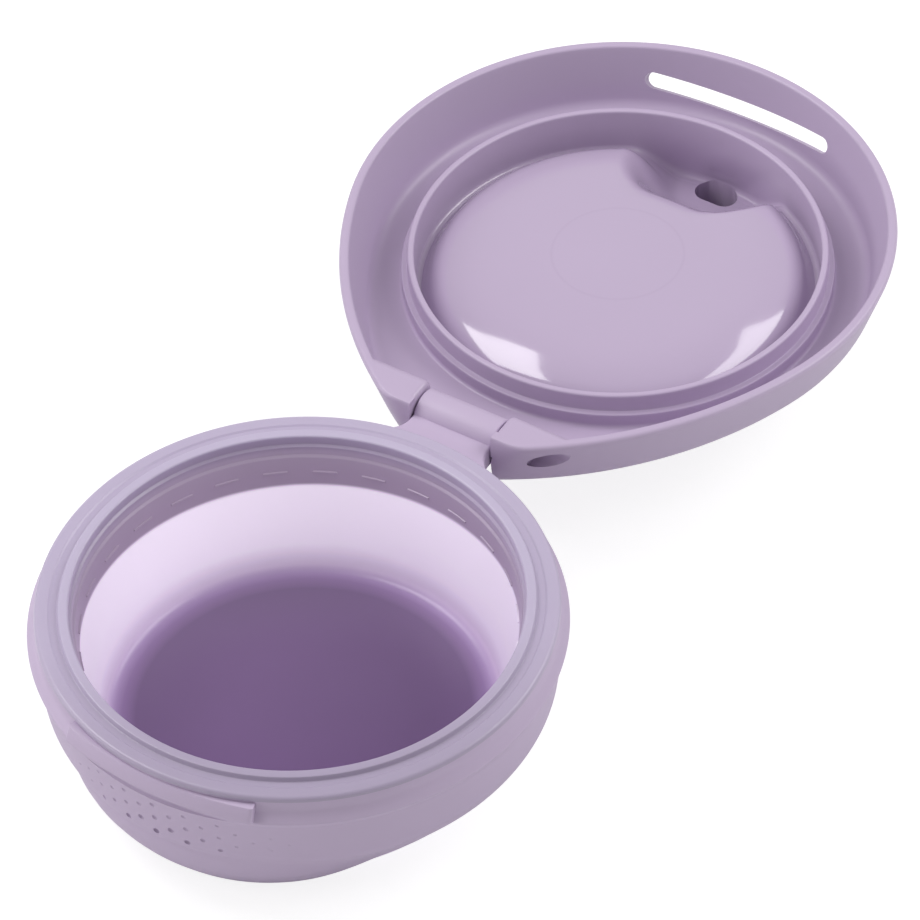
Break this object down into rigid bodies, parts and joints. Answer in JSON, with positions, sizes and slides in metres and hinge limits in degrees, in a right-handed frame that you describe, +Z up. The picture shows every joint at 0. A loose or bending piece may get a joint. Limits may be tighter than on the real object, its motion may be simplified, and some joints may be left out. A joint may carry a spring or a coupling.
{
  "type": "toddler snack container",
  "caption": "Round toddler snack bowl in a grip shell with a front ledge, and a hinged dished lid with plug ring, a long slot in its front wall and a pouring spout, shown fully open.",
  "frame": {"origin": "middle of the base pad's underside, on the table under the bowl's axis", "axes": "+Z up; +Y from the bowl to the hinge and the open lid; X along the hinge pin, +X towards the end where the pin shows"},
  "size_m": [0.1254, 0.2549, 0.0397],
  "materials": {
    "frosted_plastic": "frosted, translucent",
    "shell_plastic": "fine satin",
    "soft_pad": "matte, soft",
    "pin_plastic": "smooth",
    "lid_plastic": "satin skirt, glossy dished middle"
  },
  "bodies": {
    "base": {"bowl": "frosted_plastic", "shell": "shell_plastic", "base_pad": "soft_pad", "hinge_pin": "pin_plastic"},
    "lid": {"lid": "lid_plastic"}
  },
  "joints": [
    {"name": "lid_hinge", "type": "hinge", "parent": "base", "child": "lid", "pos_m": [0, 0.0667, 0.0341], "axis": [1, 0, 0], "range_deg": [0, 180]}
  ]
}
